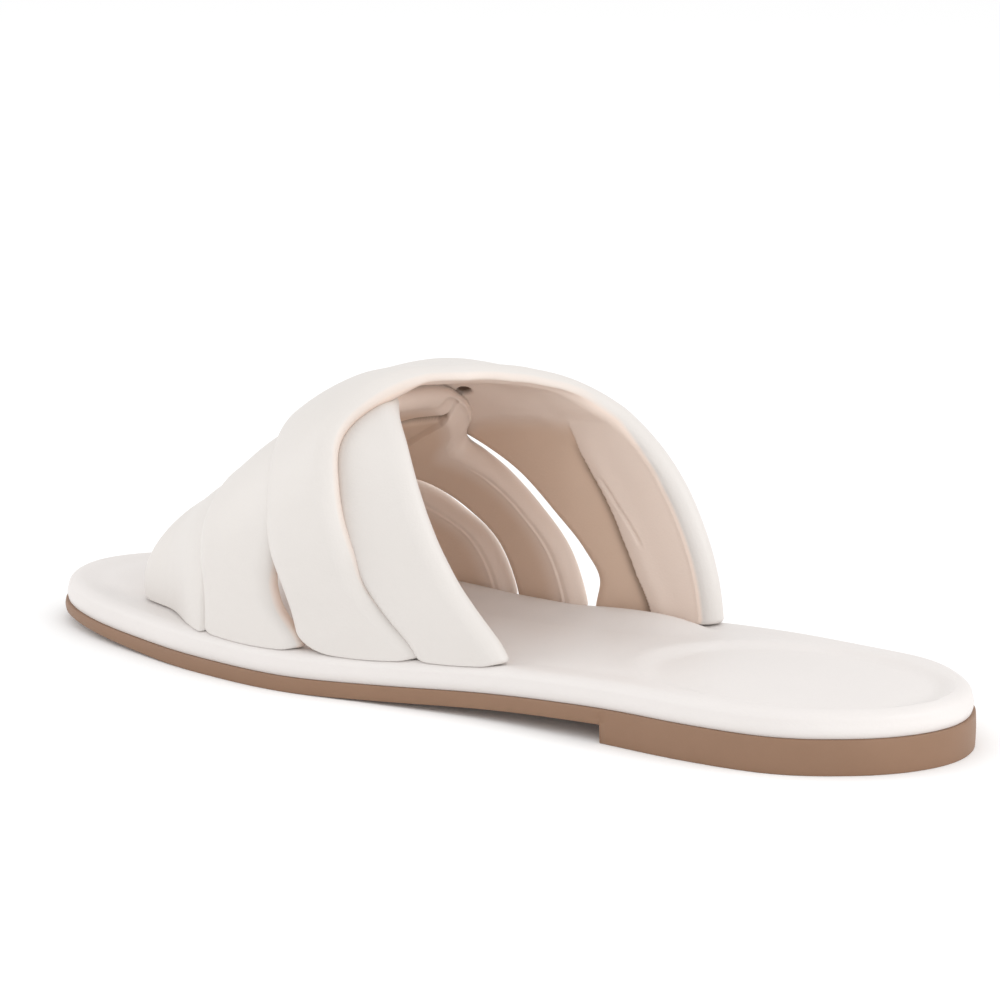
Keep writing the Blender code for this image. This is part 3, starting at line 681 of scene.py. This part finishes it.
def lapped_lining(s, t, inwards):
    """The lap: a step at the cut end that fades along the strap, and the slot as a tapering groove.

    The lapped length is thin along its rear edge: the inner face rises there by a smooth step. The
    painted shade rises from the lit pale edge inwards, browner where the lining lies in shade, and
    painted dark shade fills the slot.
    """
    past = (t - np.interp(s, FLAP_END[:, 0], FLAP_END[:, 1])) * ARCH_LENGTH
    lap = (smooth_step(past, -FLAP_EDGE, FLAP_EDGE)
           * (1.0 - smooth_step(t, FLAP_FADE_START, FLAP_FADE_END)))
    beside = s - np.interp(t, SLOT[:, 0], SLOT[:, 1])
    open_here = (smooth_step(t, SLOT[0, 0], SLOT[1, 0])
                 * (1.0 - smooth_step(t, SLOT[-2, 0], SLOT[-1, 0])))
    rows = STRAPS["rear_under"]
    thin = 1.0 - smooth_step(s - np.interp(t, rows[:, 0], rows[:, 1]), 0.0, THIN_REACH)
    thin = thin * smooth_step(t, THIN_START, THIN_FULL) * (1.0 - smooth_step(t, THIN_HOLD, THIN_END))
    slot = open_here * np.exp(-(beside / SLOT_WIDTH) ** 2)
    dents = SLOT_DEPTH * slot - FLAP_STEP * lap + THIN_DEPTH * thin
    slot_shade = smooth_step(slot, SLOT_SHADE_START, SLOT_SHADE_FULL)
    return dents, smooth_step(inwards, SHADE_START_IN, SHADE_FULL_IN), slot_shade


LININGS = {"rear_under": lapped_lining, "rear_over": pleated_lining,
           "front_under": smooth_lining, "front_over": smooth_lining}


def build_strap(name, lining, material):
    points, values = strap_surface(name, lining)
    strap = new_piece(name + "_strap", points.reshape(-1, 3), tube_faces(*points.shape[:2]), material)
    for key, value in values.items():
        layer = strap.data.attributes.new(key, "FLOAT", "POINT")
        layer.data.foreach_set("value", value.ravel().astype(np.float32))
    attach(strap, "root")
    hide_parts("upper")


strap_finish = padded_strap_finish()
for strap_name in STRAPS:
    build_strap(strap_name, LININGS[strap_name], strap_finish)


# Room: a pale floor, a bright even surround and three broad soft lights, one behind the heel, a weak
# one beside the camera and one off the toe. The camera stands low behind the heel on the outer side,
# with a long lens. Places are in metres here, and directions in degrees.
FLOOR_HALF, FLOOR_GLOW, SURROUND = 6.0, 0.02, 0.96
FLOOR_COLOUR, WHITE = (0.97, 0.97, 0.97, 1.0), (1.0, 1.0, 1.0, 1.0)
LAMPS = (  # name, direction round the shoe, rise, distance, size, power
    ("heel_light", 190.0, 30.0, 1.5, 0.9, 6.3), ("front_light", 140.0, 16.0, 1.6, 1.0, 1.5),
    ("toe_light", 30.0, 30.0, 1.6, 1.1, 5.0))
CAMERA_TURN, CAMERA_RISE, CAMERA_AWAY = 128.35, 12.79, 1.0
CAMERA_TARGET = Vector((-0.0004, 0.0, 0.020))
CAMERA_LENS, CAMERA_SENSOR, CAMERA_SHIFT = 157.2, 36.0, (0.0053, 0.0907)


def pale_floor():
    """Matt white with a faint glow of its own."""
    return new_material("pale_floor", Metallic=0.0, Roughness=0.9, Specular_IOR_Level=0.0,
                        Base_Color=FLOOR_COLOUR, Emission_Color=WHITE, Emission_Strength=FLOOR_GLOW)[0]


corner = np.array(((-1, -1, 0), (1, -1, 0), (1, 1, 0), (-1, 1, 0)), float) * FLOOR_HALF
floor_mesh = bpy.data.meshes.new("floor")
floor_mesh.from_pydata(corner.tolist(), [], [(0, 1, 2, 3)])
floor_mesh.materials.append(pale_floor())
floor = bpy.data.objects.new("floor", floor_mesh)
bpy.context.scene.collection.objects.link(floor)

world = bpy.data.worlds.new("studio")
world.use_nodes = True
world.node_tree.nodes["Background"].inputs["Color"].default_value = WHITE
world.node_tree.nodes["Background"].inputs["Strength"].default_value = SURROUND
bpy.context.scene.world = world


def seen_from(turn, rise, distance):
    """A place at the distance from the shoe, turned from the toe's direction and raised, in degrees."""
    turn, rise = np.radians((turn, rise))
    return distance * Vector((np.sin(turn) * np.cos(rise), -np.cos(turn) * np.cos(rise), np.sin(rise)))


for lamp_name, lamp_turn, lamp_rise, lamp_away, lamp_size, lamp_power in LAMPS:
    light = bpy.data.lights.new(lamp_name, "AREA")
    light.shape, light.size, light.energy = "DISK", lamp_size, lamp_power
    lamp = bpy.data.objects.new(lamp_name, light)
    lamp.location = seen_from(lamp_turn, lamp_rise, lamp_away)
    lamp.rotation_euler = (-lamp.location).to_track_quat("-Z", "Y").to_euler()
    bpy.context.scene.collection.objects.link(lamp)

camera = bpy.data.cameras.new("camera")
camera.lens, camera.sensor_width = CAMERA_LENS, CAMERA_SENSOR
camera.shift_x, camera.shift_y = CAMERA_SHIFT
camera_stand = bpy.data.objects.new("camera", camera)
camera_offset = seen_from(CAMERA_TURN, CAMERA_RISE, CAMERA_AWAY)
camera_stand.location = CAMERA_TARGET + camera_offset
camera_stand.rotation_euler = (-camera_offset).to_track_quat("-Z", "Y").to_euler()
bpy.context.scene.collection.objects.link(camera_stand)
bpy.context.scene.camera = camera_stand
bpy.context.scene.view_settings.view_transform = "Standard"
